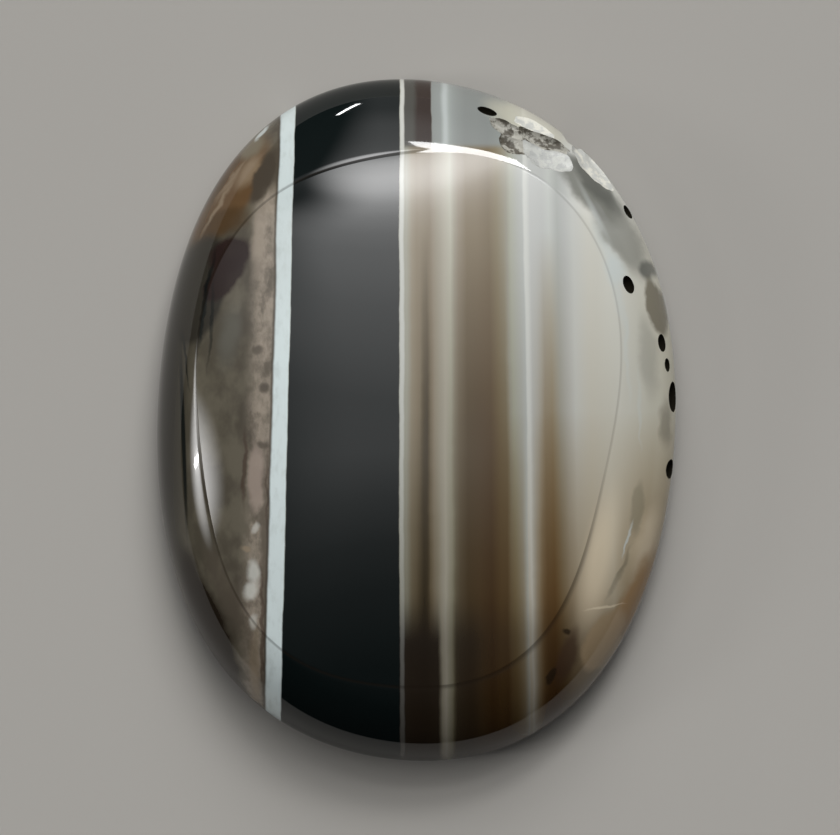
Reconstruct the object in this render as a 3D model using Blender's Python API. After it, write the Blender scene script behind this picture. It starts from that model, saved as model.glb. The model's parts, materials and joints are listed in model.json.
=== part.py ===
"""A banded agate cabochon: an oval polished stone with a flat back, a rounded shoulder and a low dome.

It is one solid, metres, +Z up. The back lies on Z = 0 with the origin under the middle of the oval.
+Y runs along the long axis and the bands, and +X across the bands towards the clear rim with the pits.
"""

import math
from typing import NamedTuple

import bmesh
import bpy
from mathutils import Matrix, Vector, noise
from mathutils.bvhtree import BVHTree

MM = 0.001

# Driving sizes: a plain ellipse, which its fullness makes an outline of 40.0 by 30.4 mm, and the height
LENGTH = 40.2 * MM
WIDTH = 30.55 * MM
THICKNESS = 8.2 * MM

# The girdle is the widest outline, and the crease is the faint edge where the shoulder meets the dome
GIRDLE_HEIGHT = 1.6 * MM
CREASE_HEIGHT = 5.7 * MM
CREASE_LENGTH = 0.795 * LENGTH
CREASE_WIDTH = 0.816 * WIDTH
CREASE_SHIFT_X = -0.39 * MM
RIM_SHIFT_X = 0.07 * MM
SHOULDER_TURN = math.radians(54)

# How full each outline is every 30 degrees anticlockwise from +X, as a share of its plain ellipse
RIM_FULLNESS = (0.991, 1.016, 1.001, 0.992, 1.033, 1.022, 1.000, 1.038, 1.023, 0.995, 1.020, 1.005)
CREASE_FULLNESS = (0.961, 1.075, 1.059, 0.977, 1.013, 1.064, 0.996, 1.021, 1.022, 0.976, 1.009, 0.948)

# The back is a flat face inside a small ground bevel
BACK_INSET = 0.75 * MM
BEVEL_HEIGHT = 0.45 * MM
WALL_LEAN = 0.12 * MM

# Mesh density
SEGMENTS = 96
SHOULDER_RINGS = 9
DOME_RINGS = 11

STONE_COLOUR = (0.16, 0.135, 0.115, 1.0)
STONE_ROUGHNESS = 0.05

# A flake's cutter is raised above the surface, so that its hollow is flatter than a pit, and is uneven
FLAKE_LIFT = 0.75
FLAKE_UNEVENNESS = 0.075
FLAKE_WAVES = 3.5
STEEPEST_SPREAD = 0.32


class Mark(NamedTuple):
    """A hollow in the stone: its middle, size from above, turn from +X and depth, in mm and degrees."""

    name: str
    x: float
    y: float
    length: float
    width: float
    turn: float
    depth: float


# Pits are small open hollows along the clear rim
PITS = (
    Mark("pit_by_chip", 4.12, 18.05, 1.20, 0.42, -24, 0.45),
    Mark("pit_rim_high", 12.38, 12.18, 0.90, 0.36, -57, 0.35),
    Mark("pit_shoulder", 12.38, 7.90, 1.10, 0.58, -62, 0.45),
    Mark("pit_rim_upper", 14.35, 4.50, 1.05, 0.44, -73, 0.40),
    Mark("pit_rim_small", 14.67, 3.21, 0.80, 0.30, -70, 0.30),
    Mark("pit_rim_middle", 15.02, 1.34, 1.80, 0.42, -88, 0.45),
    Mark("pit_rim_low", 14.85, -2.88, 1.15, 0.40, -80, 0.40),
)

# Flakes are the shell-like breaks that overlap in the chip on the rim, and the notch goes through its edge
FLAKES = (
    Mark("flake_ledge", 6.85, 17.15, 3.60, 0.80, -19, 0.13),
    Mark("flake_step_high", 5.35, 17.00, 2.50, 0.85, -33, 0.42),
    Mark("flake_step_low", 7.40, 16.40, 3.90, 0.85, -9, 0.52),
    Mark("flake_crumbs", 5.60, 16.15, 1.90, 1.20, -35, 0.38),
    Mark("flake_leaf", 7.60, 15.48, 3.70, 1.70, -9, 0.44),
    Mark("flake_notch", 9.15, 16.45, 1.90, 1.15, -38, 0.60),
    Mark("flake_rim", 10.35, 14.80, 3.90, 1.00, -43, 0.40),
)


def fullness(shares, angle):
    """Smooth value at an angle that passes through the evenly spaced shares of an outline."""
    count = len(shares)
    total = 0.0
    for index, share in enumerate(shares):
        away = angle - 2 * math.pi * index / count
        weight = 1 + math.cos(count / 2 * away)
        for wave in range(1, count // 2):
            weight += 2 * math.cos(wave * away)
        total += share * weight / count
    return total


def outline_point(shares, length, width, shift_x, angle, scale=1.0):
    """Point of an outline, or of a smaller one inside it that is more elliptical nearer its middle."""
    share = 1 + (fullness(shares, angle) - 1) * scale
    return Vector(
        (
            shift_x + width / 2 * share * scale * math.cos(angle),
            length / 2 * share * scale * math.sin(angle),
        )
    )


def rim_point(angle, inset=0.0):
    """Point of the girdle outline, or of the outline an even distance inside it."""
    return outline_point(RIM_FULLNESS, LENGTH - 2 * inset, WIDTH - 2 * inset, RIM_SHIFT_X, angle)


def crease_point(angle, scale=1.0):
    """Point of the crease outline, or of a smaller one on the dome."""
    return outline_point(CREASE_FULLNESS, CREASE_LENGTH, CREASE_WIDTH, CREASE_SHIFT_X, angle, scale)


def back_rings():
    """Rings from the flat back, over its bevel, up to just under the girdle."""
    wall = GIRDLE_HEIGHT - BEVEL_HEIGHT
    yield lambda angle: (*rim_point(angle, BACK_INSET), 0.0)
    yield lambda angle: (*rim_point(angle, BACK_INSET * 0.35), BEVEL_HEIGHT * 0.55)
    yield lambda angle: (*rim_point(angle, WALL_LEAN), BEVEL_HEIGHT)
    yield lambda angle: (*rim_point(angle, WALL_LEAN * 0.3), BEVEL_HEIGHT + wall * 0.5)


def shoulder_rings():
    """Rings from the girdle, upright there, over the rounded shoulder to just under the crease."""
    for step in range(SHOULDER_RINGS):
        turn = SHOULDER_TURN * step / SHOULDER_RINGS
        inward = (1 - math.cos(turn)) / (1 - math.cos(SHOULDER_TURN))
        upward = math.sin(turn) / math.sin(SHOULDER_TURN)
        height = GIRDLE_HEIGHT + (CREASE_HEIGHT - GIRDLE_HEIGHT) * upward

        def ring(angle, inward=inward, height=height):
            return (*rim_point(angle).lerp(crease_point(angle), inward), height)

        yield ring


def dome_rings():
    """Rings from the crease up to just short of the top of the dome."""
    for step in range(DOME_RINGS):
        scale = 1 - step / DOME_RINGS
        height = CREASE_HEIGHT + (THICKNESS - CREASE_HEIGHT) * (1 - scale**2)

        def ring(angle, scale=scale, height=height):
            return (*crease_point(angle, scale), height)

        yield ring


def make_stone(collection, material):
    """The whole stone before its pits and chip are cut: a sphere's rings laid on the stone's outlines."""
    rings = [*back_rings(), *shoulder_rings(), *dome_rings()]
    bm = bmesh.new()
    bmesh.ops.create_uvsphere(bm, u_segments=SEGMENTS, v_segments=len(rings) + 1, radius=1.0)
    for vert in bm.verts:
        step = round(math.acos(max(-1.0, min(1.0, -vert.co.z))) / math.pi * (len(rings) + 1))
        angle = math.atan2(vert.co.y, vert.co.x)
        if step == 0:
            vert.co = (0.0, 0.0, 0.0)
        elif step == len(rings) + 1:
            vert.co = (CREASE_SHIFT_X, 0.0, THICKNESS)
        else:
            vert.co = rings[step - 1](angle)
    back_middle = [vert for vert in bm.verts if vert.co.length < 0.01 * MM]
    bmesh.ops.dissolve_verts(bm, verts=back_middle)
    bmesh.ops.recalc_face_normals(bm, faces=bm.faces)
    mesh = bpy.data.meshes.new("agate_cabochon")
    bm.to_mesh(mesh)
    bm.free()
    mesh.materials.append(material)
    mesh.shade_smooth()
    mesh.set_sharp_from_angle(angle=math.radians(25))
    stone = bpy.data.objects.new("agate_cabochon", mesh)
    collection.objects.link(stone)
    return stone


def surface_frame(tree, x, y, turn):
    """Place on the surface above X, Y, or on the girdle next to it, and the axes along, across and out."""
    place, normal, _, _ = tree.ray_cast(Vector((x, y, 2 * THICKNESS)), Vector((0, 0, -1)))
    if place is None:
        place, normal, _, _ = tree.find_nearest(Vector((x, y, GIRDLE_HEIGHT)))
    along = Vector((math.cos(turn), math.sin(turn), 0.0))
    along = (along - normal * along.dot(normal)).normalized()
    across = normal.cross(along)
    axes = Matrix((along, across, normal)).transposed().to_4x4()
    return place, axes, normal


def make_cutter(collection, tree, mark, subdivisions, lift=0.0, unevenness=0.0):
    """A rounded cutter for one mark, with its middle raised by a share of its reach and a wavy surface."""
    place, axes, normal = surface_frame(tree, mark.x * MM, mark.y * MM, math.radians(mark.turn))
    reach = mark.depth * MM / (1 - lift)
    spread = 1 / math.sqrt(1 - lift**2)
    half_width = mark.width / 2 * MM * spread / max(normal.z, STEEPEST_SPREAD)
    size = Matrix.Diagonal((mark.length / 2 * MM * spread, half_width, reach, 1.0))
    middle = Matrix.Translation(place + normal * (reach * lift))
    bm = bmesh.new()
    bmesh.ops.create_icosphere(bm, subdivisions=subdivisions, radius=1.0)
    for vert in bm.verts:
        vert.co *= 1 + unevenness * noise.noise(vert.co * FLAKE_WAVES + place / MM)
    bmesh.ops.transform(bm, matrix=middle @ axes @ size, verts=bm.verts)
    mesh = bpy.data.meshes.new(mark.name)
    bm.to_mesh(mesh)
    bm.free()
    cutter = bpy.data.objects.new(mark.name, mesh)
    cutter.hide_render = True
    cutter.display_type = "WIRE"
    collection.objects.link(cutter)
    return cutter


def cut(stone, cutter):
    """Takes the cutter's shape out of the stone."""
    modifier = stone.modifiers.new(cutter.name, "BOOLEAN")
    modifier.operation = "DIFFERENCE"
    modifier.object = cutter


def make_material():
    """Polished dark agate, one even colour here."""
    material = bpy.data.materials.new("polished_agate")
    material.use_nodes = True
    shader = material.node_tree.nodes["Principled BSDF"]
    shader.inputs["Base Color"].default_value = STONE_COLOUR
    shader.inputs["Roughness"].default_value = STONE_ROUGHNESS
    shader.inputs["Metallic"].default_value = 0.0
    return material


def main():
    for obj in list(bpy.data.objects):
        bpy.data.objects.remove(obj)
    stones = bpy.data.collections.new("agate_cabochon")
    cutters = bpy.data.collections.new("cutters")
    bpy.context.scene.collection.children.link(stones)
    bpy.context.scene.collection.children.link(cutters)
    stone = make_stone(stones, make_material())
    tree = BVHTree.FromObject(stone, bpy.context.evaluated_depsgraph_get())
    for mark in FLAKES:
        cut(stone, make_cutter(cutters, tree, mark, 3, FLAKE_LIFT, FLAKE_UNEVENNESS))
    for mark in PITS:
        cut(stone, make_cutter(cutters, tree, mark, 2))


main()
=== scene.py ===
"""Looks of a banded agate cabochon: its polished bands, its fresh chip, its pits and a plain studio.

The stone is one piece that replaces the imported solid. Its outlines and heights are worked out from that
solid's box. +Y runs along the bands towards the chipped end, and +X across them towards the clear rim.
"""

import json
import logging
import math
from dataclasses import dataclass
from enum import Enum
from functools import cache

import bmesh
import bpy
from mathutils import Matrix, Vector, noise
from mathutils.bvhtree import BVHTree

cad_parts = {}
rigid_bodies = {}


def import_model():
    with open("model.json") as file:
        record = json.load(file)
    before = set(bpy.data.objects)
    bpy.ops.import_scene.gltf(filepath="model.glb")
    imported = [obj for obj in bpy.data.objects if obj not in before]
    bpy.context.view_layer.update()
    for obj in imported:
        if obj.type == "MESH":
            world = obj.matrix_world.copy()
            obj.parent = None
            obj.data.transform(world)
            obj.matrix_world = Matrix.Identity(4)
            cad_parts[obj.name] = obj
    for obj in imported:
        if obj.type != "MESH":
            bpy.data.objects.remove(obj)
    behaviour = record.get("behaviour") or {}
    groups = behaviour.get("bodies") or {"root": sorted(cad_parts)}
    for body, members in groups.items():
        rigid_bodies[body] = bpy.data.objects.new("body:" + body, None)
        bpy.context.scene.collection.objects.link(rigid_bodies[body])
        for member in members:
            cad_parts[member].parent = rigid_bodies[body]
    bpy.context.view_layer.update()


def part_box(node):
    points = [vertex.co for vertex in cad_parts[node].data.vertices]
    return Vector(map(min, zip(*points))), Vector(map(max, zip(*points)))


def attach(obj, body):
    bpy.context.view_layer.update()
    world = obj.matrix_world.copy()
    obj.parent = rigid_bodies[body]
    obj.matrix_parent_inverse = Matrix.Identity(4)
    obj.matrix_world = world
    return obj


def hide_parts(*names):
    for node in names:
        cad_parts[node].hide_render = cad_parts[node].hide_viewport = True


LOG = logging.getLogger("agate")
MM = 0.001
NODE = "agate_cabochon"
PIECE = "polished_cabochon"
UV_MAP = "lay"
QUARTZ_IOR = 1.54
DOWN = Vector((0, 0, -1))

Socket = bpy.types.NodeSocket


class Tint(Enum):
    """Colours of the stone and the studio, as linear red, green and blue."""

    INK = (0.003, 0.005, 0.005)
    CHALK = (0.504, 0.569, 0.569)
    UMBER = (0.043, 0.035, 0.026)
    PEACH = (0.24, 0.203, 0.162)
    SALMON = (0.235, 0.19, 0.158)
    SMOKE = (0.052, 0.046, 0.033)
    PALE_SMOKE = (0.098, 0.087, 0.064)
    SOOT = (0.02, 0.018, 0.014)
    BITTER = (0.012, 0.008, 0.005)
    OXBLOOD = (0.016, 0.009, 0.008)
    RUST = (0.048, 0.028, 0.012)
    AMBER_BROWN = (0.08, 0.046, 0.021)
    COCOA = (0.085, 0.07, 0.053)
    BUFF = (0.216, 0.169, 0.115)
    TAUPE = (0.235, 0.232, 0.191)
    MUSHROOM = (0.194, 0.166, 0.118)
    UMBER_HAZE = (0.163, 0.133, 0.088)
    TOAST = (0.152, 0.124, 0.08)
    FAWN = (0.145, 0.116, 0.074)
    OATMEAL = (0.182, 0.153, 0.11)
    SAND = (0.2, 0.179, 0.133)
    LINEN = (0.225, 0.206, 0.161)
    BISCUIT = (0.267, 0.249, 0.201)
    CREAM = (0.307, 0.302, 0.245)
    BROWN = (0.13, 0.1, 0.056)
    CINNAMON = (0.112, 0.082, 0.041)
    KHAKI = (0.145, 0.119, 0.067)
    GREIGE = (0.177, 0.161, 0.113)
    PUTTY = (0.197, 0.187, 0.146)
    ASH = (0.254, 0.261, 0.213)
    MIST = (0.285, 0.294, 0.272)
    HAZE = (0.309, 0.321, 0.303)
    PEARL = (0.349, 0.357, 0.343)
    MILK = (0.378, 0.39, 0.37)
    WHEY = (0.414, 0.42, 0.396)
    BUTTERMILK = (0.45, 0.446, 0.402)
    CUSTARD = (0.59, 0.505, 0.375)
    BEAD = (0.425, 0.432, 0.407)
    IVORY = (0.468, 0.47, 0.43)
    WARM_IVORY = (0.44, 0.435, 0.385)
    PARCHMENT = (0.4, 0.38, 0.3)
    GRAPHITE = (0.062, 0.065, 0.057)
    CLEAR_GREY = (0.122, 0.124, 0.108)
    SLATE_BLUE = (0.173, 0.205, 0.216)
    FROST = (0.43, 0.465, 0.455)
    OLIVE = (0.122, 0.108, 0.076)
    DRAB = (0.25, 0.185, 0.112)
    HONEY = (0.205, 0.113, 0.038)
    RED_BROWN = (0.036, 0.02, 0.013)
    FRESH = (0.56, 0.55, 0.49)
    SHELL = (0.302, 0.295, 0.259)
    GRIT_AND_SHADE = (0.061, 0.054, 0.04)
    PIT = (0.006, 0.005, 0.003)
    FLOOR = (0.3, 0.289, 0.27)

    @property
    def rgba(self) -> tuple[float, float, float, float]:
        """The colour with full opacity, as a node socket takes it."""
        return (*self.value, 1.0)


@dataclass(frozen=True)
class Zone:
    """One place across the soft bands, in mm, with its colour at the head.

    The stain deepens it from the head to the middle, and the foot's stain, partly painted shade, from
    there on.
    """

    place: float
    tint: Tint
    stain: float = 0.0
    foot: float = 0.0


@dataclass(frozen=True)
class Fade:
    """A smooth step: where it starts and ends, which may run backwards, and its value at each."""

    start: float
    end: float
    low: float = 0.0
    high: float = 1.0


@dataclass(frozen=True)
class Cloud:
    """Noise that repeats so many times a mm along each axis. A shift makes it unlike the others."""

    stretch: tuple[float, float, float]
    detail: float = 4.0
    roughness: float = 0.6
    shift: float = 0.0


@dataclass(frozen=True)
class Stripe:
    """A crisp band between two places across the stone, in mm, with the width of its soft edges."""

    start: float
    end: float
    tint: Tint
    soft_start: float = 0.10
    soft_end: float = 0.10
    strength: float = 1.0


@dataclass(frozen=True)
class Patch:
    """A patch of colour, seen from above: an oval in mm, its turn in degrees and its soft edge.

    A bow bends the oval along its length. A ragged patch reads the place with more wander.
    """

    x: float
    y: float
    half_length: float
    half_width: float
    turn: float
    tint: Tint
    strength: float = 1.0
    softness: float = 0.35
    bow: float = 0.0
    ragged: bool = True


@dataclass(frozen=True)
class Mark:
    """A hollow in the stone: its middle, size from above, turn from +X and depth, in mm and degrees."""

    name: str
    x: float
    y: float
    length: float
    width: float
    turn: float
    depth: float


@dataclass(frozen=True)
class Outline:
    """An oval that is fuller than a plain ellipse by a share that changes smoothly round it."""

    shares: tuple[float, ...]
    length: float
    width: float
    shift: float

    @cache
    def fullness(self, angle: float) -> float:
        """Share of the plain ellipse at an angle, by a smooth curve through the even shares."""
        count = len(self.shares)
        total = 0.0
        for index, share in enumerate(self.shares):
            away = angle - 2 * math.pi * index / count
            weight = 1 + math.cos(count / 2 * away)
            weight += sum(2 * math.cos(wave * away) for wave in range(1, count // 2))
            total += share * weight / count
        return total

    def point(self, angle: float, scale: float = 1.0, inset: float = 0.0) -> Vector:
        """A point of the oval, or of a smaller one inside it that is more elliptical nearer the middle.

        Args:
            angle: Direction from the middle, in radians.
            scale: Size of the smaller oval as a share of the whole one.
            inset: Distance by which the whole oval is drawn in, in metres.

        Returns:
            The point's X and Y.
        """
        share = (1 + (self.fullness(angle) - 1) * scale) * scale
        across = (self.width / 2 - inset) * share * math.cos(angle)
        along = (self.length / 2 - inset) * share * math.sin(angle)
        return Vector((self.shift + across, along))


class Bench:
    """Adds, sets and links the nodes of one material or world."""

    # A Mix node's sockets for a share and two colours, among those for other kinds of data
    mix_inputs = (0, 6, 7)
    mix_output = 2

    def __init__(self, tree: bpy.types.NodeTree) -> None:
        """Keeps the node tree that the methods add to."""
        self.tree = tree

    def feed(self, socket: Socket, value: object) -> None:
        """Links a socket to another node's output, or sets its own value."""
        if isinstance(value, Socket):
            self.tree.links.new(value, socket)
        elif isinstance(value, Tint):
            socket.default_value = value.rgba
        else:
            socket.default_value = value

    def fill(self, node: bpy.types.Node, inputs: dict) -> None:
        """Links or sets a node's sockets, by socket name or number."""
        for name, value in inputs.items():
            self.feed(node.inputs[name], value)

    def add(self, kind: str, inputs: dict | None = None, **settings: object) -> bpy.types.Node:
        """Adds one node.

        Args:
            kind: The node's type, without the ShaderNode that all have in front.
            inputs: Values or outputs for its sockets, by socket name or number.
            settings: The node's own properties.

        Returns:
            The new node.
        """
        node = self.tree.nodes.new(f"ShaderNode{kind}")
        for name, value in settings.items():
            setattr(node, name, value)
        self.fill(node, inputs or {})
        return node

    def math(self, operation: str, *values: object) -> Socket:
        """A Math node's result."""
        return self.add("Math", dict(enumerate(values)), operation=operation).outputs[0]

    def times(self, product: object, *others: object) -> Socket:
        """The product of two values or more."""
        for other in others:
            product = self.math("MULTIPLY", product, other)
        return product

    def vector(self, operation: str, *values: object) -> Socket:
        """A Vector Math node's vector result."""
        node = self.add("VectorMath", dict(enumerate(values)), operation=operation)
        return node.outputs["Vector"]

    def parts(self, vector: Socket) -> list[Socket]:
        """X, Y and Z of a vector."""
        return list(self.add("SeparateXYZ", {0: vector}).outputs)

    def join(self, x: object, y: object, z: object = 0.0) -> Socket:
        """A vector from its X, Y and Z."""
        return self.add("CombineXYZ", {0: x, 1: y, 2: z}).outputs[0]

    def slope(self, value: Socket, start: float, end: float, clamp: bool = True) -> Socket:
        """Straight step from 0 to 1 as a value goes from start to end."""
        inputs = {"Value": value, "From Min": start, "From Max": end}
        return self.add("MapRange", inputs, clamp=clamp).outputs[0]

    def ease(
        self, value: Socket, start: object, end: object, low: object = 0.0, high: object = 1.0
    ) -> Socket:
        """Smooth step from low to high as a value goes from start to end, which may run backwards."""
        inputs = {"Value": value, "From Min": start, "From Max": end, "To Min": low, "To Max": high}
        return self.add("MapRange", inputs, interpolation_type="SMOOTHSTEP").outputs[0]

    def fade(self, value: Socket, fade: Fade, high: object = None) -> Socket:
        """A named smooth step of a value. Its high end may be another node's output."""
        return self.ease(value, fade.start, fade.end, fade.low, fade.high if high is None else high)

    def noise(self, place: Socket, scale: float, detail: float = 2.0, roughness: float = 0.5) -> Socket:
        """Noise between 0 and 1 at a place."""
        inputs = {"Vector": place, "Scale": scale, "Detail": detail, "Roughness": roughness}
        return self.add("TexNoise", inputs).outputs[0]

    def swing(self, place: Socket, scale: float, reach: float, detail: float = 2.0) -> Socket:
        """Noise around 0 that reaches about so far each way."""
        centred = self.math("SUBTRACT", self.noise(place, scale, detail), 0.5)
        return self.times(centred, 2 * reach)

    def mix(self, share: object, under: object, over: object, blend: str = "MIX") -> Socket:
        """One colour laid over another by a share."""
        inputs = dict(zip(self.mix_inputs, (share, under, over)))
        node = self.add("Mix", inputs, data_type="RGBA", blend_type=blend)
        return node.outputs[self.mix_output]

    def ramp(self, value: Socket, stops: list[tuple[float, tuple[float, ...]]]) -> Socket:
        """Colour for a value between 0 and 1, smooth from stop to stop."""
        node = self.add("ValToRGB", {0: value})
        elements = node.color_ramp.elements
        elements[0].position, elements[0].color = stops[0]
        elements[1].position, elements[1].color = stops[-1]
        for position, colour in stops[1:-1]:
            elements.new(position).color = colour
        return node.outputs[0]


class AgatePainter(Bench):
    """Lays an agate's bands, stains and patches one over another, with places in mm."""

    # The bands fan out from one place, by this share for each mm along the stone
    fan_middle = -0.86
    fan_left = 0.0035
    fan_right = 0.0020

    # How the bands stray from straight lines, and a patch's edge from its oval
    slow_stretch = (0.6, 0.10, 0.6)
    slow_reach = 0.10
    fine_stretch = (0.5, 1.0, 0.5)
    fine_reach = 0.035
    wander_scale = 0.7
    wander_reach = 0.35
    wander_detail = 3.0
    wander_shift = 40

    def __init__(self, tree: bpy.types.NodeTree) -> None:
        """Sets up the places that every band and patch reads."""
        super().__init__(tree)
        source = self.add("TexCoord").outputs["Object"]
        inputs = {0: source, "Scale": 1 / MM}
        self.place = self.add("VectorMath", inputs, operation="SCALE").outputs[0]
        self.x, self.y, self.z = self.parts(self.place)
        self.still = self.join(self.x, self.y)
        wander = [
            self.swing(place, self.wander_scale, self.wander_reach, self.wander_detail)
            for place in (self.place, self.shifted(self.wander_shift))
        ]
        self.wandering = self.vector("ADD", self.still, self.join(*wander))
        self.across = self.fan()

    def shifted(self, distance: float) -> Socket:
        """The place moved far along Z, so that a noise there is unlike the first."""
        return self.vector("ADD", self.place, (0.0, 0.0, distance))

    def cloud(self, cloud: Cloud) -> Socket:
        """Noise between 0 and 1 that is stretched along the axes."""
        place = self.shifted(cloud.shift) if cloud.shift else self.place
        stretched = self.vector("MULTIPLY", place, cloud.stretch)
        return self.noise(stretched, 1.0, cloud.detail, cloud.roughness)

    def fan(self) -> Socket:
        """Place across the bands, at the stone's middle, of the band that passes through each point."""
        slow = self.swing(self.vector("MULTIPLY", self.place, self.slow_stretch), 1.0, self.slow_reach)
        fine = self.swing(self.vector("MULTIPLY", self.place, self.fine_stretch), 1.0, self.fine_reach)
        from_middle = self.math("SUBTRACT", self.x, self.fan_middle)
        on_left = self.math("LESS_THAN", from_middle, 0.0)
        spread = self.math("MULTIPLY_ADD", on_left, self.fan_left - self.fan_right, self.fan_right)
        shrink = self.math("SUBTRACT", 1.0, self.times(spread, self.y))
        at_middle = self.math("DIVIDE", from_middle, shrink)
        straight = self.math("ADD", at_middle, self.fan_middle)
        return self.math("ADD", straight, self.math("ADD", slow, fine))

    def zones(self, zones: tuple[Zone, ...]) -> tuple[Socket, Socket]:
        """Colour at the head, and the two strengths of the stain, both by place across the bands."""
        start, end = zones[0].place, zones[-1].place
        span = end - start
        share = self.slope(self.across, start, end)
        tints = [((zone.place - start) / span, zone.tint.rgba) for zone in zones]
        stains = [((zone.place - start) / span, (zone.stain, zone.foot, 0.0, 1.0)) for zone in zones]
        return self.ramp(share, tints), self.ramp(share, stains)

    def stripe(self, under: Socket, stripe: Stripe, shown: object = 1.0) -> Socket:
        """Lays one crisp band over the colour under it, as far as it is shown."""
        rise = self.ease(self.across, stripe.start - stripe.soft_start, stripe.start + stripe.soft_start)
        fall = self.ease(self.across, stripe.end + stripe.soft_end, stripe.end - stripe.soft_end)
        return self.mix(self.times(rise, fall, shown, stripe.strength), under, stripe.tint)

    def patch(self, under: Socket, patch: Patch) -> Socket:
        """Lays one patch over the colour under it."""
        place = self.wandering if patch.ragged else self.still
        inputs = {
            "Vector": place,
            "Location": (patch.x, patch.y, 0.0),
            "Rotation": (0.0, 0.0, math.radians(patch.turn)),
            "Scale": (patch.half_length, patch.half_width, 1.0),
        }
        local = self.add("Mapping", inputs, vector_type="TEXTURE").outputs[0]
        if patch.bow:
            along, across, _ = self.parts(local)
            bent = self.math("MULTIPLY_ADD", self.times(along, along), patch.bow, across)
            local = self.join(along, bent)
        away = self.add("VectorMath", {0: local}, operation="LENGTH").outputs["Value"]
        share = self.ease(away, 1 + patch.softness, 1 - patch.softness, 0.0, patch.strength)
        return self.mix(share, under, patch.tint)


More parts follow.
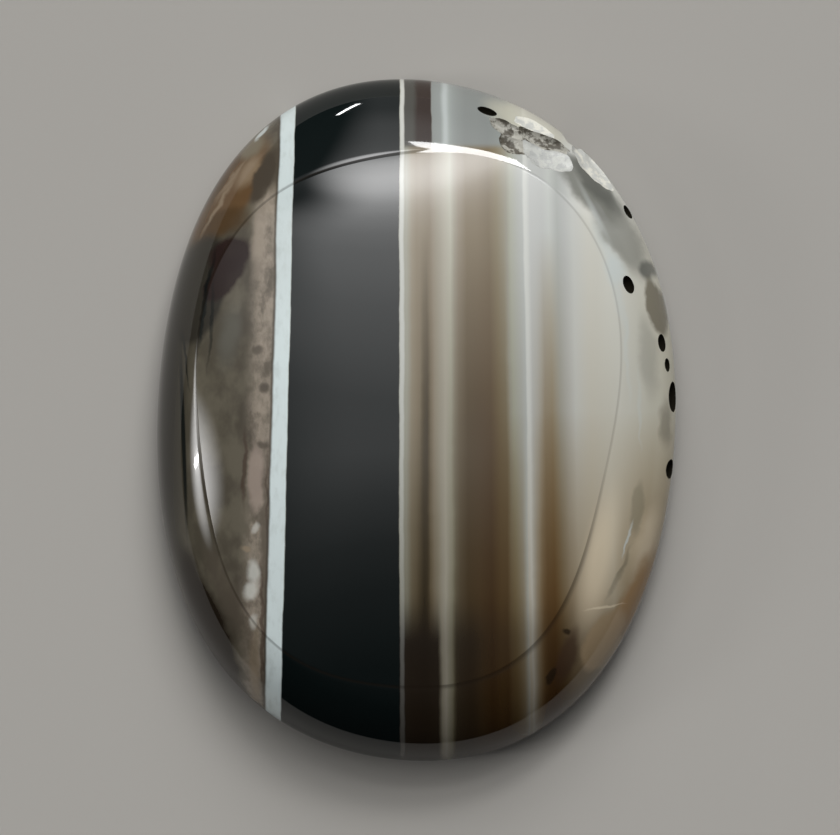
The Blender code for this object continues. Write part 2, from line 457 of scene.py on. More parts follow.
@dataclass(frozen=True)
class BandedAgate:
    """The polished stone: soft stained bands, crisp bands, and the patches of its clear edges, in mm.

    The crease is its place in the piece's UV map, from 0 at the back to 1 at the top.
    """

    crease: float

    # Polish, with a slight smear over it, and the ground back and its bevel
    smoothest = 0.020
    smear = 0.03
    smear_scale = 0.5
    smear_detail = 4.0
    ground_roughness = 0.38
    ground_below = Fade(0.55, 0.35)

    # What a full stain lets through, and where along the stone it deepens; the foot's stain is partly
    # painted shade
    smoky_stain = (0.46, 0.43, 0.36, 1.0)
    honey_stain = (0.47, 0.345, 0.215, 1.0)
    honey_side = Fade(1.6, 5.2)
    stain_start = 11.0
    stain_end = 0.0
    foot_start = 0.5
    foot_end = -8.2

    # Darker towards the foot, most by the thin white line and least in the pale band
    near_foot = Fade(-9.8, -13.2)
    past_line = Fade(4.2, 3.0, 0.42, 0.78)
    by_pale_band = Fade(1.95, 2.3, 0.35)
    by_line = Fade(1.15, 1.5, 0.98)

    # Painted shade along the crease: a faint dark line, in shares of the UV map, wider and darker low on
    # the right
    crease_core = 0.004
    crease_reach = 0.014
    crease_widening = 0.010
    crease_right = Fade(-3.0, 5.0)
    crease_foot = Fade(-2.0, -9.0)
    crease_strength = 0.42
    crease_right_change = -0.24
    crease_foot_change = 0.31

    # The pale edge of the clear rim
    edge_ring = Fade(0.15, 0.118)
    edge_right = Fade(9.5, 11.5, 0.0, 0.6)
    edge_above = Fade(-9.0, -5.0)

    # The thin line's fading, the painted shade and the shoulder at the head, and the chalk's dust
    thin_line = Fade(-19.0, 6.0, 0.1, 0.76)
    head_painted_shade = Fade(3.0, 11.0, 0.0, 0.22)
    head_shoulder = Fade(15.75, 16.2)
    dust = Cloud((2.4, 1.2, 1.0))
    chalkiness = Fade(0.28, 0.55, 0.86, 1.0)

    # The left side: its smoky clouds, and the mottled column beside the white band
    left_of = -8.0
    clouds = Cloud((0.45, 0.3, 0.45), roughness=0.55)
    cloud_cover = Fade(0.4, 0.62, 0.15, 0.85)
    inside_rim = Fade(-13.8, -12.8)
    mottle = Cloud((1.3, 0.8, 1.0), detail=5.0, roughness=0.65)
    mottle_cover = Fade(0.34, 0.64, 0.35, 0.95)
    column_head = Fade(14.4, 12.4)
    column_left = Fade(-10.25, -9.15)
    column_right = Fade(-8.4, -8.5)
    brown = Cloud((0.9, 0.5, 1.0), shift=70)
    brown_cover = Fade(0.5, 0.66, 0.0, 0.75)

    # Where across the stone the milky side takes over
    milky_start = 7.0
    pale_bands = (
        Zone(-0.57, Tint.TAUPE, 0.0, 0.44),
        Zone(-0.28, Tint.MUSHROOM, 0.1, 0.68),
        Zone(0.0, Tint.UMBER_HAZE, 0.05, 0.85),
        Zone(0.2, Tint.UMBER_HAZE, 0.27, 1.14),
        Zone(0.43, Tint.TOAST, 1.36, 0.82),
        Zone(0.6, Tint.FAWN, 1.67, 0.25),
        Zone(0.78, Tint.FAWN, 0.33, 0.33),
        Zone(1.0, Tint.OATMEAL, 0.0, 0.35),
        Zone(1.19, Tint.SAND, 0.0, 0.26),
        Zone(1.4, Tint.LINEN, 0.0, 0.08),
        Zone(1.66, Tint.BISCUIT, 0.04, 0.0),
        Zone(2.01, Tint.CREAM, 0.41, 0.28),
        Zone(2.24, Tint.LINEN, 0.6, 0.53),
        Zone(2.48, Tint.OATMEAL, 0.83, 0.44),
        Zone(2.95, Tint.BROWN, 1.0, 0.33),
        Zone(3.6, Tint.BROWN, 1.05, 0.2),
        Zone(4.3, Tint.CINNAMON, 0.8, 0.45),
        Zone(4.8, Tint.KHAKI, 0.5, 0.55),
        Zone(5.18, Tint.GREIGE, 0.5, 0.74),
        Zone(5.4, Tint.PUTTY, 0.05, 0.76),
        Zone(5.64, Tint.ASH, 0.09, 0.76),
        Zone(6.1, Tint.MIST, 0.07, 0.44),
        Zone(6.36, Tint.HAZE, 0.0, 0.1),
        Zone(6.46, Tint.BEAD, 0.0, 0.24),
        Zone(6.6, Tint.WHEY, 0.0, 0.14),
        Zone(6.78, Tint.PEARL, 0.08, 0.28),
        Zone(7.1, Tint.PEARL, 0.24, 0.67),
    )
    milky_side = (
        Zone(6.9, Tint.PEARL, 0.12, 0.4),
        Zone(7.1, Tint.PEARL, 0.24, 0.67),
        Zone(7.3, Tint.PEARL, 0.4, 0.93),
        Zone(7.5, Tint.PEARL, 0.68, 0.95),
        Zone(7.9, Tint.MILK, 0.79, 1.0),
        Zone(8.4, Tint.HAZE, 0.26, 0.8),
        Zone(8.8, Tint.PEARL, 0.15, 0.6),
        Zone(9.3, Tint.WHEY, 0.05, 0.54),
        Zone(10.2, Tint.BUTTERMILK, 0.12, 0.35),
        Zone(10.7, Tint.BUTTERMILK, 0.1, 0.32),
        Zone(11.3, Tint.IVORY, 0.12, 0.27),
        Zone(11.9, Tint.IVORY, 0.08, 0.5),
        Zone(13.0, Tint.WARM_IVORY, 0.04, 0.73),
        Zone(15.5, Tint.PARCHMENT, 0.0, 0.8),
    )
    # The near-black left rim is partly the smoky stone and partly painted shade and a painted dark
    # reflection
    smoky_and_shaded_side = (
        Zone(-15.5, Tint.SOOT),
        Zone(-14.3, Tint.SOOT),
        Zone(-13.4, Tint.SMOKE),
        Zone(-8.6, Tint.UMBER),
    )
    left_patches = (
        Patch(-11.3, 13.6, 3.9, 1.7, 57, Tint.AMBER_BROWN, 0.97, 0.2),
        Patch(-12.15, 13.2, 3.0, 0.4, 56, Tint.RUST, 0.75, 0.5),
        Patch(-11.2, 11.5, 1.5, 0.7, 24, Tint.RUST, 0.85, 0.4),
        Patch(-9.8, 14.5, 1.0, 0.4, 52, Tint.BUFF, 0.55, 0.7),
        Patch(-11.6, 12.5, 1.9, 0.11, 60, Tint.BUFF, 0.55, 0.7),
        Patch(-10.9, 14.0, 1.2, 0.09, 55, Tint.BUFF, 0.45, 0.7),
        Patch(-9.66, 16.05, 0.95, 0.55, 52, Tint.OLIVE, 0.8, 0.4),
        # Painted highlight: a small glint on the edge at the upper-left tip
        Patch(-9.05, 16.7, 0.45, 0.12, 52, Tint.FROST, 0.8, 0.5),
        Patch(-8.95, 14.2, 1.7, 0.55, 66, Tint.UMBER, 0.97, 0.25),
        Patch(-12.7, 7.6, 3.3, 1.5, 76, Tint.SOOT, 0.92, 0.12, 0.0, False),
        Patch(-10.9, 9.6, 1.4, 0.9, 30, Tint.OXBLOOD, 0.95, 0.2),
        Patch(-11.2, 8.3, 1.7, 0.75, 52, Tint.OXBLOOD, 0.95, 0.2),
        Patch(-12.35, 6.8, 2.6, 0.13, 80, Tint.INK, 0.8, 0.6),
        Patch(-12.0, 5.6, 2.2, 0.1, 84, Tint.INK, 0.6, 0.6),
        Patch(-10.9, 5.0, 1.6, 0.55, 80, Tint.CLEAR_GREY, 0.35, 0.7),
        Patch(-9.2, 10.6, 2.0, 0.38, 84, Tint.PEACH, 0.7, 0.6),
        # Painted reflections: two thin dark lines along the left rim, where it mirrors the shadow on the
        # floor
        Patch(-13.62, -1.2, 4.8, 0.12, 92, Tint.INK, 0.9, 0.5, 0.0, False),
        Patch(-13.45, 3.6, 1.6, 0.07, 97, Tint.INK, 0.7, 0.6),
        Patch(-9.3, 4.0, 0.35, 0.26, 30, Tint.UMBER, 0.7, 0.5),
        Patch(-8.9, 1.85, 0.3, 0.3, 0, Tint.UMBER, 0.8, 0.5),
        Patch(-8.95, -1.45, 0.28, 0.24, 0, Tint.UMBER, 0.7, 0.5),
        Patch(-9.35, -3.4, 1.9, 0.46, 90, Tint.SALMON, 0.85, 0.3),
        Patch(-10.02, -2.9, 1.9, 0.13, 89, Tint.RED_BROWN, 0.7, 0.6),
        Patch(-8.78, -9.0, 6.9, 0.22, 91, Tint.COCOA, 0.85, 0.5),
        Patch(-8.72, -4.2, 2.2, 0.09, 91, Tint.RED_BROWN, 0.6, 0.6),
        Patch(-8.98, -12.6, 3.8, 0.12, 91, Tint.RED_BROWN, 0.7, 0.5),
        Patch(-9.4, -6.3, 0.32, 0.2, 60, Tint.IVORY, 0.5, 0.5),
        Patch(-9.95, -7.6, 0.26, 0.2, 0, Tint.BUFF, 0.7, 0.5),
        Patch(-9.5, -8.8, 0.62, 0.34, 95, Tint.IVORY, 0.7, 0.5),
        Patch(-9.65, -9.95, 0.55, 0.36, 60, Tint.IVORY, 0.7, 0.5),
        Patch(-9.55, -11.75, 0.4, 0.24, 70, Tint.IVORY, 0.55, 0.5),
        Patch(-9.45, -14.6, 2.4, 0.32, 90, Tint.BUFF, 0.6, 0.5),
        Patch(-10.9, -10.6, 3.4, 0.55, 114, Tint.COCOA, 0.5, 0.5),
        # Painted shadow: a dark band along the lower-left rim, on the stone's shaded side
        Patch(-12.15, -11.9, 4.8, 0.85, 112, Tint.BITTER, 0.96, 0.25),
    )
    right_patches = (
        Patch(6.6, 17.45, 2.5, 0.85, -24, Tint.PARCHMENT, 0.6, 0.4),
        Patch(11.7, 11.2, 3.1, 0.95, -60, Tint.CLEAR_GREY, 0.7, 0.35),
        Patch(9.95, 13.6, 2.7, 0.85, -50, Tint.CLEAR_GREY, 0.85, 0.3),
        Patch(10.35, 13.9, 2.1, 0.48, -48, Tint.GRAPHITE, 0.75, 0.45),
        Patch(10.4, 12.1, 1.6, 0.14, -62, Tint.FROST, 0.32, 0.8, 0.0, False),
        Patch(11.0, 10.1, 1.6, 0.3, -66, Tint.FROST, 0.45, 0.8),
        Patch(11.7, 7.2, 2.6, 0.2, -78, Tint.FROST, 0.4, 0.7),
        Patch(11.6, 8.7, 0.9, 0.55, -60, Tint.FROST, 0.7, 0.5),
        Patch(13.55, 8.7, 0.6, 0.48, -60, Tint.GRAPHITE, 0.85, 0.45),
        Patch(14.05, 6.6, 1.7, 0.52, -74, Tint.OLIVE, 0.92, 0.2),
        Patch(13.55, 3.8, 2.2, 0.55, -86, Tint.CLEAR_GREY, 0.32, 0.5),
        Patch(12.3, 3.9, 2.4, 0.1, -86, Tint.FROST, 0.35, 0.7, 0.4),
        Patch(12.95, 0.6, 1.8, 0.09, -88, Tint.FROST, 0.35, 0.7, -0.5),
        Patch(14.55, -0.25, 1.2, 0.32, 90, Tint.OLIVE, 0.6, 0.6),
        Patch(10.65, -8.2, 3.4, 0.75, 79, Tint.CUSTARD, 0.52, 0.7, 0.0, False),
        Patch(13.4, -7.0, 1.7, 0.6, 70, Tint.CUSTARD, 0.42, 0.7),
        Patch(12.9, -5.1, 1.5, 0.4, 84, Tint.GREIGE, 0.55, 0.3),
        Patch(12.3, -7.0, 0.95, 0.07, 72, Tint.FROST, 0.7, 0.5),
        Patch(12.75, -10.4, 3.0, 0.65, 62, Tint.HONEY, 0.85, 0.5),
        Patch(10.9, -12.9, 2.0, 0.95, 60, Tint.DRAB, 0.85, 0.18),
        Patch(8.8, -13.8, 1.6, 0.5, 72, Tint.RED_BROWN, 0.7, 0.4),
        Patch(8.7, -12.4, 0.26, 0.14, 10, Tint.BITTER, 0.8, 0.4),
        Patch(7.85, -14.9, 0.55, 0.22, 60, Tint.BITTER, 0.8, 0.4),
        Patch(10.95, -10.97, 1.0, 0.06, 6, Tint.CUSTARD, 0.55, 0.5, -0.8),
        Patch(11.7, -9.3, 1.2, 0.14, 64, Tint.OLIVE, 0.45, 0.6),
        Patch(12.1, -8.3, 0.9, 0.1, 66, Tint.OLIVE, 0.4, 0.6),
    )

    def dress(self, material: bpy.types.Material) -> None:
        """Builds the material's nodes."""
        material.use_nodes = True
        paint = AgatePainter(material.node_tree)
        shader = material.node_tree.nodes["Principled BSDF"]
        colour = self.soft_bands(paint)
        colour = self.left_edge(paint, colour)
        colour = self.crisp_bands(paint, colour)
        colour = self.right_edge(paint, colour)
        ring = paint.parts(paint.add("UVMap", uv_map=UV_MAP).outputs[0])[1]
        # Painted shade: a faint dark line along the crease
        colour = self.crease_painted_shade(paint, colour, ring)
        edge = paint.times(
            paint.fade(ring, self.edge_ring),
            paint.fade(paint.x, self.edge_right),
            paint.fade(paint.y, self.edge_above),
        )
        colour = paint.mix(edge, colour, Tint.FROST)
        ground = paint.fade(paint.z, self.ground_below)
        smear = paint.noise(paint.place, self.smear_scale, self.smear_detail)
        polish = paint.math("MULTIPLY_ADD", smear, self.smear, self.smoothest)
        matt = paint.times(ground, self.ground_roughness)
        roughness = paint.math("MAXIMUM", polish, matt)
        paint.fill(shader, {"Base Color": colour, "Roughness": roughness, "IOR": QUARTZ_IOR})

    def crease_painted_shade(self, paint: AgatePainter, colour: Socket, ring: Socket) -> Socket:
        """Painted shade along the crease: a faint dark line, by the ring that each point lies on."""
        away = paint.math("ABSOLUTE", paint.math("SUBTRACT", ring, self.crease))
        to_right = paint.fade(paint.x, self.crease_right)
        low = paint.times(paint.fade(paint.y, self.crease_foot), to_right)
        reach = paint.math("MULTIPLY_ADD", low, self.crease_widening, self.crease_reach)
        line = paint.ease(away, reach, self.crease_core)
        faint = paint.math("MULTIPLY_ADD", to_right, self.crease_right_change, self.crease_strength)
        depth = paint.math("MULTIPLY_ADD", low, self.crease_foot_change, faint)
        return paint.mix(paint.times(line, depth), colour, Tint.BITTER)

    def soft_bands(self, paint: AgatePainter) -> Socket:
        """Translucent bands, which a brown stain deepens towards the foot, where it is partly painted
        shade.
        """
        pale, pale_stain = paint.zones(self.pale_bands)
        milky, milky_stain = paint.zones(self.milky_side)
        past = paint.math("GREATER_THAN", paint.across, self.milky_start)
        head = paint.mix(past, pale, milky)
        stain, foot, _ = paint.parts(paint.mix(past, pale_stain, milky_stain))
        to_middle = paint.slope(paint.y, self.stain_start, self.stain_end)
        # The foot's stain is partly a real stain and partly painted shade
        past_foot = paint.slope(paint.y, self.foot_start, self.foot_end, clamp=False)
        to_foot_stain_and_shade = paint.math("MAXIMUM", past_foot, 0.0)
        depth = paint.math("MULTIPLY_ADD", stain, to_middle, paint.times(foot, to_foot_stain_and_shade))
        warmth = paint.fade(paint.across, self.honey_side)
        hue = paint.mix(warmth, self.smoky_stain, self.honey_stain)
        channels = [paint.math("POWER", channel, depth) for channel in paint.parts(hue)]
        colour = paint.mix(1.0, head, paint.join(*channels), "MULTIPLY")
        # Darker towards the foot, by place across the bands
        foot_darkening = paint.fade(paint.across, self.past_line)
        foot_darkening = paint.fade(paint.across, self.by_pale_band, foot_darkening)
        foot_darkening = paint.fade(paint.across, self.by_line, foot_darkening)
        near_foot = paint.fade(paint.y, self.near_foot)
        return paint.mix(paint.times(near_foot, foot_darkening), colour, Tint.BITTER)

    def crisp_bands(self, paint: AgatePainter, colour: Socket) -> Socket:
        """The black band and its sharp neighbours."""
        thin_white = paint.fade(paint.y, self.thin_line)
        painted_head_shade = paint.fade(paint.y, self.head_painted_shade)
        on_shoulder = paint.fade(paint.y, self.head_shoulder)
        chalky = paint.fade(paint.cloud(self.dust), self.chalkiness)
        for stripe, shown in (
            (Stripe(-8.58, -8.42, Tint.UMBER, 0.07, 0.04, 0.75), 1.0),
            (Stripe(-0.72, 0.92, Tint.OXBLOOD, 0.05, 0.05, 0.95), on_shoulder),
            (Stripe(-0.72, -0.05, Tint.GRAPHITE, 0.05, 0.2, 0.6), on_shoulder),
            (Stripe(0.92, 5.8, Tint.SLATE_BLUE, 0.05, 0.8, 0.65), on_shoulder),
            (Stripe(1.55, 1.9, Tint.FROST, 0.15, 0.15, 0.45), on_shoulder),
            (Stripe(-7.52, -1.0, Tint.INK, 0.05, 0.04), 1.0),
            (Stripe(-8.43, -7.53, Tint.CHALK, 0.08, 0.05), chalky),
            # Painted shade: grey over the chalk band, deeper towards the head
            (Stripe(-8.43, -7.53, Tint.CLEAR_GREY, 0.05, 0.05), painted_head_shade),
            (Stripe(-0.97, -0.73, Tint.BEAD, 0.06, 0.07), thin_white),
        ):
            colour = paint.stripe(colour, stripe, shown)
        return colour

    def left_edge(self, paint: AgatePainter, colour: Socket) -> Socket:
        """Smoky, clear and amber patches between the left rim and the white band, with painted shade and
        dark painted reflections along the rim.
        """
        smoky, _ = paint.zones(self.smoky_and_shaded_side)
        cover = paint.fade(paint.cloud(self.clouds), self.cloud_cover)
        clear = paint.times(cover, paint.fade(paint.across, self.inside_rim))
        smoky = paint.mix(clear, smoky, Tint.PALE_SMOKE)
        colour = paint.mix(paint.math("LESS_THAN", paint.across, self.left_of), colour, smoky)
        mottled = paint.times(
            paint.fade(paint.cloud(self.mottle), self.mottle_cover),
            paint.fade(paint.y, self.column_head),
            paint.fade(paint.across, self.column_left),
            paint.fade(paint.across, self.column_right),
        )
        browned = paint.fade(paint.cloud(self.brown), self.brown_cover)
        colour = paint.mix(mottled, colour, paint.mix(browned, Tint.PEACH, Tint.COCOA))
        for patch in self.left_patches:
            colour = paint.patch(colour, patch)
        return colour

    def right_edge(self, paint: AgatePainter, colour: Socket) -> Socket:
        """Veils, clear places and amber between the milky band and the right rim, and the pale head."""
        for patch in self.right_patches:
            colour = paint.patch(colour, patch)
        return colour


@dataclass(frozen=True)
class BreakFace:
    """Broken stone in the chip, with blotches of a second colour, or a pit's near-black inside."""

    tint: Tint
    blotches: Tint
    roughness: float
    specular: float = 0.5

    blotch = Cloud((1.8, 1.8, 1.8))
    blotch_edge = Fade(0.44, 0.56)
    grain = Cloud((9.0, 9.0, 9.0), detail=5.0, roughness=0.65)
    grain_strength = 0.6
    grain_depth = 0.06 * MM

    def dress(self, material: bpy.types.Material) -> None:
        """Builds the material's nodes: mottled colour and a fine grain."""
        material.use_nodes = True
        paint = AgatePainter(material.node_tree)
        shader = material.node_tree.nodes["Principled BSDF"]
        blotched = paint.fade(paint.cloud(self.blotch), self.blotch_edge)
        height = paint.cloud(self.grain)
        grain = {"Strength": self.grain_strength, "Distance": self.grain_depth, "Height": height}
        inputs = {
            "Base Color": paint.mix(blotched, self.tint, self.blotches),
            "Roughness": self.roughness,
            "Specular IOR Level": self.specular,
            "IOR": QUARTZ_IOR,
            "Normal": paint.add("Bump", grain).outputs[0],
        }
        paint.fill(shader, inputs)


def mesh_object(name: str, bm: bmesh.types.BMesh) -> bpy.types.Object:
    """An object with a finished bmesh's faces. It frees the bmesh."""
    mesh = bpy.data.meshes.new(name)
    bm.to_mesh(mesh)
    bm.free()
    return bpy.data.objects.new(name, mesh)


@dataclass
class Cabochon:
    """The stone. Its outlines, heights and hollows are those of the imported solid, with finer rings."""

    low: Vector
    high: Vector
    segments: int = 288
    shoulder_rings: int = 40
    dome_rings: int = 44
    dome_crowding: float = 1.6
    length_share: float = 1.00575
    width_share: float = 1.0039
    girdle_share: float = 0.1951
    crease_share: float = 0.6951
    bevel_share: float = 0.0549
    shoulder_turn: float = math.radians(54)
    crease_lip: float = 0.016
    crease_depth: float = 0.012 * MM
    crease_length_share: float = 0.795
    crease_width_share: float = 0.816
    crease_shift: float = -0.39 * MM
    rim_shift: float = 0.07 * MM
    back_inset: float = 0.75 * MM
    wall_lean: float = 0.12 * MM
    flake_lift: float = 0.75
    flake_unevenness: float = 0.075
    flake_waves: float = 3.5
    steepest_spread: float = 0.32
    flake_fineness: int = 5
    pit_fineness: int = 4
    ripple: float = 0.010
    ripple_waves: float = 13
    pit_ripple: float = 3
    sharp_angle: float = math.radians(24)

    # Rings of the bevel and of the wall, as shares of their inset and height
    bevel_rings = ((1.0, 0.0), (0.66, 0.28), (0.35, 0.55))
    wall_rings = ((1.0, 0.0), (0.6, 0.25), (0.3, 0.5), (0.1, 0.75))

    # How full each outline is every 30 degrees from +X, as a share of its plain ellipse
    rim_shares = (0.991, 1.016, 1.001, 0.992, 1.033, 1.022, 1.0, 1.038, 1.023, 0.995, 1.02, 1.005)
    crease_shares = (0.961, 1.075, 1.059, 0.977, 1.013, 1.064, 0.996, 1.021, 1.022, 0.976, 1.009, 0.948)

    # Hollows: the open pits, and the chip's flakes by the finish of the faces that they cut
    pits = (
        Mark("pit_by_chip", 4.12, 18.05, 1.2, 0.42, -24, 0.45),
        Mark("pit_rim_high", 12.38, 12.18, 0.9, 0.36, -57, 0.35),
        Mark("pit_shoulder", 12.38, 7.9, 1.1, 0.58, -62, 0.45),
        Mark("pit_rim_upper", 14.35, 4.5, 1.05, 0.44, -73, 0.4),
        Mark("pit_rim_small", 14.67, 3.21, 0.8, 0.3, -70, 0.3),
        Mark("pit_rim_middle", 15.02, 1.34, 1.8, 0.42, -88, 0.45),
        Mark("pit_rim_low", 14.85, -2.88, 1.15, 0.4, -80, 0.4),
    )
    flakes = {
        "cream_break": (
            Mark("flake_ledge", 6.85, 17.15, 3.6, 0.8, -19, 0.13),
            Mark("flake_rim", 10.35, 14.8, 3.9, 1.0, -43, 0.4),
        ),
        "pale_break": (
            Mark("flake_leaf", 7.6, 15.48, 3.7, 1.7, -9, 0.44),
        ),
        # Partly painted shade: the dark crack band's colour stands in for the shadow in its undercut step
        "crumbly_shaded_break": (
            Mark("flake_step_high", 5.35, 17.0, 2.5, 0.85, -33, 0.42),
            Mark("flake_step_low", 7.4, 16.4, 3.9, 0.85, -9, 0.52),
            Mark("flake_crumbs", 5.6, 16.15, 1.9, 1.2, -35, 0.38),
            Mark("flake_notch", 9.15, 16.45, 1.9, 1.15, -38, 0.6),
        ),
    }

    def __post_init__(self) -> None:
        """Works out the outlines and heights from the box."""
        box = self.high - self.low
        length = box.y * self.length_share
        width = box.x * self.width_share
        self.thickness = box.z
        self.rim = Outline(self.rim_shares, length, width, self.rim_shift)
        self.crease = Outline(
            self.crease_shares,
            length * self.crease_length_share,
            width * self.crease_width_share,
            self.crease_shift,
        )

    @property
    def crease_ring(self) -> int:
        """Number of the ring in the crease, counted from 1 on the flat back."""
        return len(self.bevel_rings) + len(self.wall_rings) + self.shoulder_rings + 1

    @property
    def last_ring(self) -> int:
        """Number of the ring that is the single point on top of the dome."""
        return self.crease_ring + self.dome_rings

    def ring_point(self, step: int, angle: float) -> Vector:
        """A point of one ring: the back, its bevel and wall, the shoulder, and the dome.

        Args:
            step: Ring number, from 1 on the flat back.
            angle: Direction from the middle, in radians.

        Returns:
            The point in metres.
        """
        girdle = self.thickness * self.girdle_share
        crease = self.thickness * self.crease_share
        bevel = self.thickness * self.bevel_share
        wall = girdle - bevel
        side = [(self.back_inset * inset, bevel * rise) for inset, rise in self.bevel_rings]
        side += [(self.wall_lean * lean, bevel + wall * rise) for lean, rise in self.wall_rings]
        if step <= len(side):
            inset, height = side[step - 1]
            return self.rim.point(angle, inset=inset).to_3d() + Vector((0, 0, height))
        step -= len(side)
        if step <= self.shoulder_rings:
            share = (step - 1) / (self.shoulder_rings - 1) * (1 - self.crease_lip)
            turn = self.shoulder_turn * share
            inward = (1 - math.cos(turn)) / (1 - math.cos(self.shoulder_turn))
            upward = math.sin(turn) / math.sin(self.shoulder_turn)
            place = self.rim.point(angle).lerp(self.crease.point(angle), inward)
            return place.to_3d() + Vector((0, 0, girdle + (crease - girdle) * upward))
        step -= self.shoulder_rings
        if step == 1:
            return self.crease.point(angle).to_3d() + Vector((0, 0, crease - self.crease_depth))
        share = (step - 2) / (self.dome_rings - 1)
        scale = (1 - self.crease_lip / 4) * (1 - share**self.dome_crowding)
        height = crease + (self.thickness - crease) * (1 - scale**2)
        return self.crease.point(angle, scale).to_3d() + Vector((0, 0, height))

    def build(self, materials: dict[str, bpy.types.Material]) -> bpy.types.Object:
        """Makes the stone and cuts its hollows.

        Args:
            materials: Finishes by name: the polished stone first, then the breaks and the pits'
                near-black inside.

        Returns:
            The finished piece.
        """
        stone = self.blank()
        for material in materials.values():
            stone.data.materials.append(material)
        tree = BVHTree.FromObject(stone, bpy.context.evaluated_depsgraph_get())
        cutters = bpy.data.collections.new("cutters")
        for name, marks in self.flakes.items():
            for mark in marks:
                cutter = self.cutter(tree, mark, materials[name], self.flake_fineness, self.flake_lift)
                cutters.objects.link(cutter)
        for mark in self.pits:
            cutter = self.cutter(tree, mark, materials["pit_inside"], self.pit_fineness, 0.0)
            cutters.objects.link(cutter)
        bpy.context.scene.collection.children.link(cutters)
        self.cut(stone, cutters)
        return stone

    def blank(self) -> bpy.types.Object:
        """The whole stone before its hollows are cut, with a UV map of angle and ring."""
        bm = bmesh.new()
        last = self.last_ring
        bmesh.ops.create_uvsphere(bm, u_segments=self.segments, v_segments=last, radius=1.0)
        layer = bm.verts.layers.float.new("ring")
        for vert in bm.verts:
            step = round(math.acos(max(-1.0, min(1.0, -vert.co.z))) / math.pi * last)
            turn = round(math.atan2(vert.co.y, vert.co.x) / (2 * math.pi) * self.segments)
            angle = turn * 2 * math.pi / self.segments
            vert[layer] = step / last
            if step == 0:
                vert.co = (0.0, 0.0, 0.0)
            elif step == last:
                vert.co = (self.crease_shift, 0.0, self.thickness)
            else:
                vert.co = self.ring_point(step, angle)
        lay = bm.loops.layers.uv.new(UV_MAP)
        for face in bm.faces:
            for loop in face.loops:
                turn = math.atan2(loop.vert.co.y, loop.vert.co.x) / (2 * math.pi) + 0.5
                loop[lay].uv = (turn, loop.vert[layer])
        bmesh.ops.recalc_face_normals(bm, faces=bm.faces)
        bm.verts.layers.float.remove(layer)
        stone = mesh_object(PIECE, bm)
        bpy.context.scene.collection.objects.link(stone)
        return stone

    def surface_frame(self, tree: BVHTree, mark: Mark) -> tuple[Vector, Matrix, Vector]:
        """Place on the surface above a mark, or on the girdle next to it.

        Args:
            tree: The stone's surface.
            mark: The hollow to place.

        Returns:
            The place, the axes along, across and out, and the direction out.
        """
        spot = Vector((mark.x * MM, mark.y * MM, 2 * self.thickness))
        place, normal, _, _ = tree.ray_cast(spot, DOWN)
        if place is None:
            spot.z = self.thickness * self.girdle_share
            place, normal, _, _ = tree.find_nearest(spot)
        turn = math.radians(mark.turn)
        along = Vector((math.cos(turn), math.sin(turn), 0.0))
        along = (along - normal * along.dot(normal)).normalized()
        across = normal.cross(along)
        return place, Matrix((along, across, normal)).transposed().to_4x4(), normal

    def cutter(
        self, tree: BVHTree, mark: Mark, material: bpy.types.Material, subdivisions: int, lift: float
    ) -> bpy.types.Object:
        """A rounded cutter for one hollow, finely rippled, and wavy too if it is a flake.

        Args:
            tree: The stone's surface.
            mark: The hollow.
            material: Finish of the faces that it cuts.
            subdivisions: How fine the cutter is.
            lift: How far its middle is raised, as a share of its reach.

        Returns:
            The cutter.
        """
        place, axes, normal = self.surface_frame(tree, mark)
        reach = mark.depth * MM / (1 - lift)
        spread = 1 / math.sqrt(1 - lift**2)
        half_width = mark.width / 2 * MM * spread / max(normal.z, self.steepest_spread)
        size = Matrix.Diagonal((mark.length / 2 * MM * spread, half_width, reach, 1.0))
        middle = Matrix.Translation(place + normal * (reach * lift))
        bm = bmesh.new()
        bmesh.ops.create_icosphere(bm, subdivisions=subdivisions, radius=1.0)
        for vert in bm.verts:
            swell = self.flake_unevenness * noise.noise(vert.co * self.flake_waves + place / MM)
            ripple = self.ripple * noise.noise(vert.co * self.ripple_waves + place / MM)
            vert.co *= 1 + (swell + ripple if lift else ripple * self.pit_ripple)
        bmesh.ops.transform(bm, matrix=middle @ axes @ size, verts=bm.verts)
        cutter = mesh_object(mark.name, bm)
        cutter.data.materials.append(material)
        return cutter

    def cut(self, stone: bpy.types.Object, cutters: bpy.types.Collection) -> None:
        """Takes every cutter out of the stone at once, then removes the cutters."""
        modifier = stone.modifiers.new("hollows", "BOOLEAN")
        modifier.operation = "DIFFERENCE"
        modifier.solver = "EXACT"
        modifier.operand_type = "COLLECTION"
        modifier.collection = cutters
        modifier.material_mode = "TRANSFER"
        evaluated = stone.evaluated_get(bpy.context.evaluated_depsgraph_get())
        mesh = bpy.data.meshes.new_from_object(evaluated)
        stone.modifiers.clear()
        stone.data = mesh
        mesh.name = stone.name
        mesh.shade_smooth()
        mesh.set_sharp_from_angle(angle=self.sharp_angle)
        for cutter in list(cutters.objects):
            bpy.data.objects.remove(cutter)
        bpy.data.collections.remove(cutters)


def direction(zenith: float, azimuth: float) -> tuple[float, float, float]:
    """Unit vector from the stone, by degrees from straight up and from +Y towards +X."""
    zenith, azimuth = math.radians(zenith), math.radians(azimuth)
    return (
        math.sin(zenith) * math.sin(azimuth),
        math.sin(zenith) * math.cos(azimuth),
        math.cos(zenith),
    )


@dataclass(frozen=True)
class Glow:
    """A soft bright place in the surround, with its place and reach in degrees."""

    zenith: float
    azimuth: float
    reach: float
    brightness: float


@dataclass(frozen=True)
class Panel:
    """A soft panel that faces the stone: its place and spin in degrees, and its size in metres."""

    name: str
    zenith: float
    azimuth: float
    width: float
    height: float
    brightness: float
    spin: float = 0.0
    mirrored: bool = True


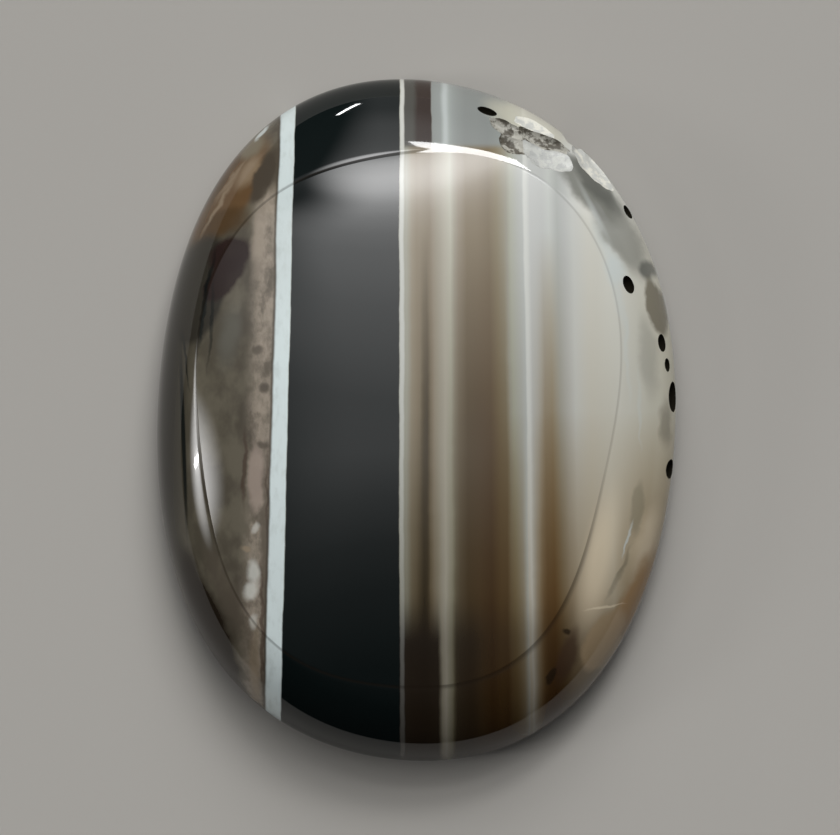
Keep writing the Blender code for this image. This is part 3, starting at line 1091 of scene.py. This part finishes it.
@dataclass
class Studio:
    """A plain pale floor, soft window-like panels, a dim surround and the camera straight above."""

    floor_half: float = 2.5
    camera_height: float = 1.0
    camera_x: float = 0.193 * MM
    camera_y: float = 0.135 * MM
    frame_width: float = 49.24 * MM
    girdle_height: float = 1.6 * MM
    sensor: float = 36.0
    clip_near: float = 0.01
    clip_far: float = 20.0
    panel_distance: float = 1.35
    floor_roughness: float = 0.9
    floor_specular: float = 0.1

    # Watts per square metre for one unit of a panel's brightness
    panel_power: float = 4.0

    panels = (
        Panel("window_panel", 46.4, 13.2, 0.58, 0.205, 14.0, spin=26.0),
        Panel("key_panel", 58.0, 1.0, 1.0, 0.5, 5.2, mirrored=False),
        Panel("side_lamp", 65.5, -96.3, 0.006, 0.18, 200.0),
        Panel("head_lamp", 80.0, -13.8, 0.22, 0.034, 30.0, spin=55.0),
    )
    glows = (
        Glow(47.0, -98.5, 6.8, 12.5),
        Glow(65.5, -94.8, 11.5, 10.0),
    )

    # Brightness of the surround, from -1 at the foot's side to 1 at the head's
    brightest: float = 10.0
    levels = (
        (-1.0, 0.04), (-0.57, 0.04), (-0.40, 0.13), (-0.29, 0.25), (-0.18, 0.50), (-0.07, 0.86),
        (0.045, 0.93), (0.16, 1.30), (0.27, 1.65), (0.356, 2.1), (0.40, 2.3), (0.44, 2.8), (0.475, 3.8),
        (0.505, 5.6), (0.53, 8.8), (0.56, 10.0), (0.59, 8.0), (0.615, 1.5), (0.73, 1.15), (0.84, 0.95),
        (0.95, 0.45), (1.0, 0.4),
    )

    # Where the surround dims, by its direction to the side, along the stone or up
    window_left_start = Fade(0.4, 0.52, -0.21, -0.1)
    window_left_end = Fade(0.4, 0.52, -0.46, -0.26)
    left_dimming = Fade(0.15, 0.5, 0.75, 0.04)
    far_left = Fade(-0.35, -0.7, 1.0, 0.15)
    far_right = Fade(0.27, 0.52, 1.0, 0.12)
    overhead = Fade(0.55, 0.9, 0.1, 1.0)
    headward = Fade(0.4, 0.55)

    def build(self) -> bpy.types.Object:
        """Makes everything round the stone and returns the floor."""
        self.surround()
        for panel in self.panels:
            self.light(panel)
        self.camera()
        return self.floor()

    def floor(self) -> bpy.types.Object:
        """The floor, a flat grid with a matt material."""
        bm = bmesh.new()
        bmesh.ops.create_grid(bm, x_segments=1, y_segments=1, size=self.floor_half)
        floor = mesh_object("floor", bm)
        material = bpy.data.materials.new("matt_floor")
        material.use_nodes = True
        matt = {
            "Base Color": Tint.FLOOR,
            "Roughness": self.floor_roughness,
            "Specular IOR Level": self.floor_specular,
        }
        Bench(material.node_tree).fill(material.node_tree.nodes["Principled BSDF"], matt)
        floor.data.materials.append(material)
        bpy.context.scene.collection.objects.link(floor)
        return floor

    def light(self, panel: Panel) -> None:
        """Makes one panel light."""
        light = bpy.data.lights.new(panel.name, "AREA")
        light.shape = "RECTANGLE"
        light.size = panel.width
        light.size_y = panel.height
        light.energy = panel.brightness * self.panel_power * panel.width * panel.height
        lamp = bpy.data.objects.new(panel.name, light)
        turn = Matrix.Rotation(-math.radians(panel.azimuth), 4, "Z")
        tilt = Matrix.Rotation(-math.radians(panel.zenith), 4, "X")
        spin = Matrix.Rotation(math.radians(panel.spin), 4, "Z")
        lamp.matrix_world = turn @ tilt @ spin @ Matrix.Translation((0.0, 0.0, self.panel_distance))
        lamp.visible_glossy = panel.mirrored
        bpy.context.scene.collection.objects.link(lamp)

    def surround(self) -> None:
        """World light, brightest like a window on the head's side and dim to the sides and the foot."""
        world = bpy.data.worlds.new("studio")
        world.use_nodes = True
        bpy.context.scene.world = world
        bench = Bench(world.node_tree)
        background = world.node_tree.nodes["Background"]
        towards = bench.add("TexCoord").outputs["Generated"]
        side, along, up = bench.parts(towards)
        share = bench.slope(along, -1.0, 1.0)
        shares = [((place + 1) / 2, level / self.brightest) for place, level in self.levels]
        stops = [(place, (level, level, level, 1.0)) for place, level in shares]
        light = bench.times(bench.parts(bench.ramp(share, stops))[0], self.brightest)
        left_start = bench.fade(along, self.window_left_start)
        left_end = bench.fade(along, self.window_left_end)
        for dimming in (
            bench.ease(side, left_start, left_end, 1.0, bench.fade(along, self.left_dimming)),
            bench.fade(side, self.far_left),
            bench.fade(side, self.far_right),
            bench.math("MAXIMUM", bench.fade(up, self.overhead), bench.fade(along, self.headward)),
        ):
            light = bench.times(light, dimming)
        for glow in self.glows:
            inputs = {0: towards, 1: direction(glow.zenith, glow.azimuth)}
            facing = bench.add("VectorMath", inputs, operation="DOT_PRODUCT").outputs["Value"]
            away = bench.math("ARCCOSINE", facing)
            glowing = bench.ease(away, math.radians(glow.reach), 0.0, 0.0, glow.brightness)
            light = bench.math("ADD", light, glowing)
        bench.feed(background.inputs["Color"], bench.join(light, light, light))

    def camera(self) -> None:
        """The camera, straight above, with the photograph's frame at the height of the girdle."""
        data = bpy.data.cameras.new("camera")
        data.sensor_width = self.sensor
        data.lens = self.sensor * (self.camera_height - self.girdle_height) / self.frame_width
        data.clip_start = self.clip_near
        data.clip_end = self.clip_far
        camera = bpy.data.objects.new("camera", data)
        camera.location = (self.camera_x, self.camera_y, self.camera_height)
        bpy.context.scene.collection.objects.link(camera)
        bpy.context.scene.camera = camera


def main() -> None:
    logging.basicConfig(level=logging.INFO, format="%(message)s")
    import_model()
    cabochon = Cabochon(*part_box(NODE))
    finishes = {
        "banded_agate": BandedAgate(crease=cabochon.crease_ring / cabochon.last_ring),
        "cream_break": BreakFace(Tint.FRESH, Tint.WHEY, roughness=0.35),
        "pale_break": BreakFace(Tint.PEARL, Tint.WHEY, roughness=0.22),
        # The crumbly break's dark colour is partly broken stone and partly painted shade
        "crumbly_shaded_break": BreakFace(Tint.GRIT_AND_SHADE, Tint.SHELL, roughness=0.5),
        "pit_inside": BreakFace(Tint.PIT, Tint.PIT, roughness=0.9, specular=0.05),
    }
    materials = {name: bpy.data.materials.new(name) for name in finishes}
    for name, finish in finishes.items():
        finish.dress(materials[name])
        LOG.info("%s: %d nodes", name, len(materials[name].node_tree.nodes))
    stone = cabochon.build(materials)
    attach(stone, "root")
    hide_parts(NODE)
    LOG.info("%s: %d faces", stone.name, len(stone.data.polygons))
    Studio().build()
    scene = bpy.context.scene
    scene.view_settings.view_transform = "Standard"
    scene.view_settings.look = "None"


if __name__ == "__main__":
    main()
